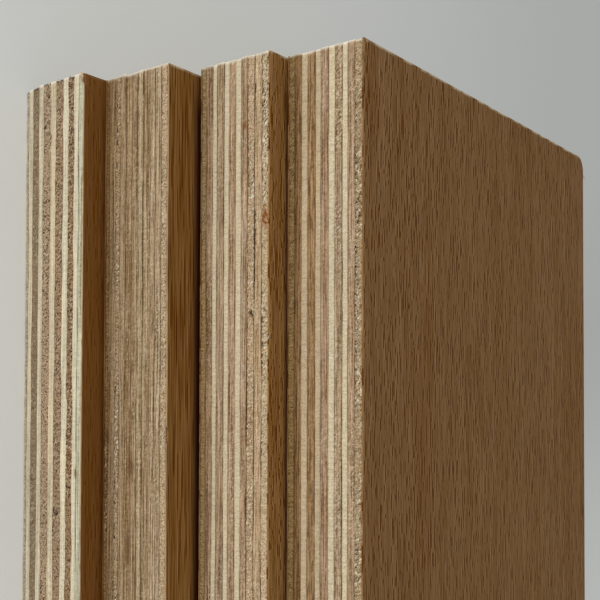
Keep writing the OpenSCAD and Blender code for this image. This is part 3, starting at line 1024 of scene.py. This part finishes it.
def face_material(sheet, side):
    """Material of a face or back veneer. Painted shade darkens a face by the next sheet, and a back at its
    edge.
    """
    material, w = new_material(f"sheet_{sheet}_{side}")
    base, *amounts = FACES[sheet]
    vector = grain_vector(w, "long")
    inputs = {"Vector": vector, "Tone": tone(*base), "Rates": shade_rates(base), "Edge": w.attribute("edge")}
    inputs |= zip(FACE_AMOUNTS, amounts)
    # Painted shade: on a face by the front of the next sheet, and on a back at its front edge
    if side == "face" and sheet in FACE_NOOKS:
        reach, full, strength = FACE_NOOKS[sheet]
        along, across, _ = w.separate(vector)
        close = w.step(across, FRONT[sheet + 1] - reach, FRONT[sheet + 1] - full)
        deep_in = w.step(along, UNEVEN_END[sheet], UNEVEN_END[sheet] + NOOK_OPENS)
        whole = w.math("MULTIPLY_ADD", deep_in, 1 - NOOK_AT_END, NOOK_AT_END)
        inputs["Nook"] = w.times(close, w.times(whole, strength))
    elif side == "back":
        inputs["Nook"] = w.times(w.attribute("nook"), BACK_NOOK)
    look = w.node("ShaderNodeGroup", inputs, node_tree=FACE_FIGURE).outputs
    finish_wood(w, look["Color"], FACE_ROUGH, look["Height"], FACE_BUMP)
    return material


# Tones of the torn fibres, paler and browner, and the size of their patches
FIBRE_PALE, FIBRE_BROWN, FIBRE_PATCH = (226, 210, 178), (186, 160, 126), 0.9


def fibre_material():
    """Material of torn fibres: pale wood, in patches a little paler or browner, darkened by painted shade in
    the nooks.
    """
    material, w = new_material("torn_fibre")
    patches = w.step(w.noise(grain_vector(w, "long"), FIBRE_PATCH, 1), 0.38, 0.62)
    colour = w.mix(patches, tone(*FIBRE_PALE), tone(*FIBRE_BROWN))
    # Painted nook shade on the fibres
    finish_wood(w, w.mix(w.attribute("shade"), colour, NOOK_SHADE_TINT, "MULTIPLY"), FIBRE_ROUGH)
    return material


# The layers of the four sheets

TORN_FIBRE = fibre_material()
for sheet in SHEETS:
    for ply, name in enumerate(LAYUP[sheet].split(), 1):
        node, timber = node_name(sheet, ply), TIMBERS[name]
        grid = (FINE_ROWS, FINE_STEP) if (sheet, ply) in FINE_PLIES else (PLY_ROWS, FRONT_STEP)
        rings, marks, _ = sawn_layer(sheet, ply, *grid, timber.rough_end, timber.rough_side)
        material = timber_material(name, "cross" if ply % 2 and (sheet, ply) not in COMBED else "long")
        place(node + "_wood", closed_rings(node, rings, marks), material, SLOT_OF[node], node)
    for layer, side in ((BACK_VENEER, "back"), (FACE_VENEER, "face")):
        node, material = node_name(sheet, layer), face_material(sheet, side)
        rings, marks = break_arris(*sawn_layer(sheet, layer, VENEER_ROWS, FRONT_STEP, *VENEER_ROUGH), side)
        place(node + "_wood", closed_rings(node, rings, marks), material, SLOT_OF[node], node)
    slot = SLOT_OF[node_name(sheet, CORE_PLIES)]
    place(f"sheet_{sheet}_torn_fibres", torn_fibres(sheet), TORN_FIBRE, slot)


# Stage: floor, light and camera

FLOOR_TONE, FLOOR_ROUGH, FLOOR_SHINE = (226, 227, 222), 0.9, 0.1
FLOOR_SIZE, FLOOR_POINTS = 6.0, 9
# How much light the floor is given on top for the camera: in front of the stack, fading out behind it, and
# beside the flush end, fading out towards the uneven end
FRONT_LIFT, FRONT_FROM, FRONT_TO = 0.18, -0.12, 0.22
SIDE_LIFT, SIDE_FROM, SIDE_TO = 0.15, 0.07, -0.06
# Colour and strength of the light from all round
SKY, SKY_STRENGTH = (0.95, 0.97, 1.0, 1.0), 0.39
# The window: how far round and up it stands in degrees, how far off, its width, height, power and aim
WINDOW_ROUND, WINDOW_UP, WINDOW_OFF = -20, 16, 2.6
WINDOW_WIDE, WINDOW_HIGH, WINDOW_POWER = 2.6, 1.1, 48.5
WINDOW_AIM = (0.0, 0.0, 0.03)


def make_floor():
    """Plain pale floor: a square grid with its middle under the stack."""
    u, v = np.meshgrid(*(np.linspace(-0.5, 0.5, FLOOR_POINTS),) * 2)
    points = np.stack([u, v, 0 * u], 2).reshape(-1, 3) * FLOOR_SIZE / MM
    index = np.arange(u.size).reshape(u.shape)
    quads = np.stack([index[:-1, :-1], index[:-1, 1:], index[1:, 1:], index[1:, :-1]], 2).reshape(-1, 4)
    floor = bpy.data.objects.new("floor", fill_mesh("floor", points, quads, np.zeros((0, 3), int)))
    bpy.context.scene.collection.objects.link(floor)
    material, w = new_material("pale_floor")
    path = w.node("ShaderNodeLightPath", {}).outputs
    mirrored = w.math("ADD", path["Is Glossy Ray"], path["Is Transmission Ray"])
    seen = w.math("ADD", path["Is Camera Ray"], mirrored)
    side, back, _ = w.separate(w.node("ShaderNodeTexCoord", {}).outputs["Object"])
    lift = w.times(w.step(back, FRONT_TO, FRONT_FROM), FRONT_LIFT)
    lift = w.math("MAXIMUM", lift, w.times(w.step(side, SIDE_TO, SIDE_FROM), SIDE_LIFT))
    look = {"Base Color": tone(*FLOOR_TONE), "Roughness": FLOOR_ROUGH, "Specular IOR Level": FLOOR_SHINE}
    look |= {"Emission Color": tone(*FLOOR_TONE), "Emission Strength": w.times(lift, seen)}
    w.finish(look)
    floor.data.materials.append(material)


def light_scene():
    """Even light from all round, and a soft oblong window that stands off from the stack and faces it."""
    world = bpy.data.worlds.new("studio")
    world.use_nodes = True
    world.node_tree.nodes["Background"].inputs["Color"].default_value = SKY
    world.node_tree.nodes["Background"].inputs["Strength"].default_value = SKY_STRENGTH
    bpy.context.scene.world = world
    a, e = math.radians(WINDOW_ROUND), math.radians(WINDOW_UP)
    way = Vector((math.sin(a) * math.cos(e), -math.cos(a) * math.cos(e), math.sin(e)))
    data = bpy.data.lights.new("window", "AREA")
    data.shape, data.size, data.size_y, data.energy = "RECTANGLE", WINDOW_WIDE, WINDOW_HIGH, WINDOW_POWER
    window = bpy.data.objects.new("window", data)
    window.location = Vector(WINDOW_AIM) + WINDOW_OFF * way
    window.rotation_mode = "QUATERNION"
    window.rotation_quaternion = way.to_track_quat("Z", "Y")
    bpy.context.scene.collection.objects.link(window)
    bpy.context.scene.view_settings.view_transform = "Standard"


# The camera lies on its side, because the sheets stand upright in the photograph and lie flat here
CAMERA_PLACE = (-3.54, -197.61, 170.03)
CAMERA_FORWARD = (-0.02588, 0.80242, -0.59619)
CAMERA_UP = (-0.99966, -0.02248, 0.01314)
CAMERA_LENS, CAMERA_SENSOR, CAMERA_SHIFT = 62.11, 36.0, 0.1667


def add_camera():
    """Camera at a place, looking forward, turned so that its up is as near as can be to the one given."""
    forward, up = Vector(CAMERA_FORWARD).normalized(), Vector(CAMERA_UP)
    right = forward.cross(up).normalized()
    data = bpy.data.cameras.new("camera")
    data.lens, data.sensor_width, data.shift_y = CAMERA_LENS, CAMERA_SENSOR, CAMERA_SHIFT
    data.clip_start, data.clip_end = 0.01, 20
    camera = bpy.data.objects.new("camera", data)
    turn = Matrix((right, right.cross(forward), -forward)).transposed()
    camera.matrix_world = Matrix.Translation(Vector(CAMERA_PLACE) * MM) @ turn.to_4x4()
    bpy.context.scene.collection.objects.link(camera)
    bpy.context.scene.camera = camera


make_floor()
light_scene()
add_camera()
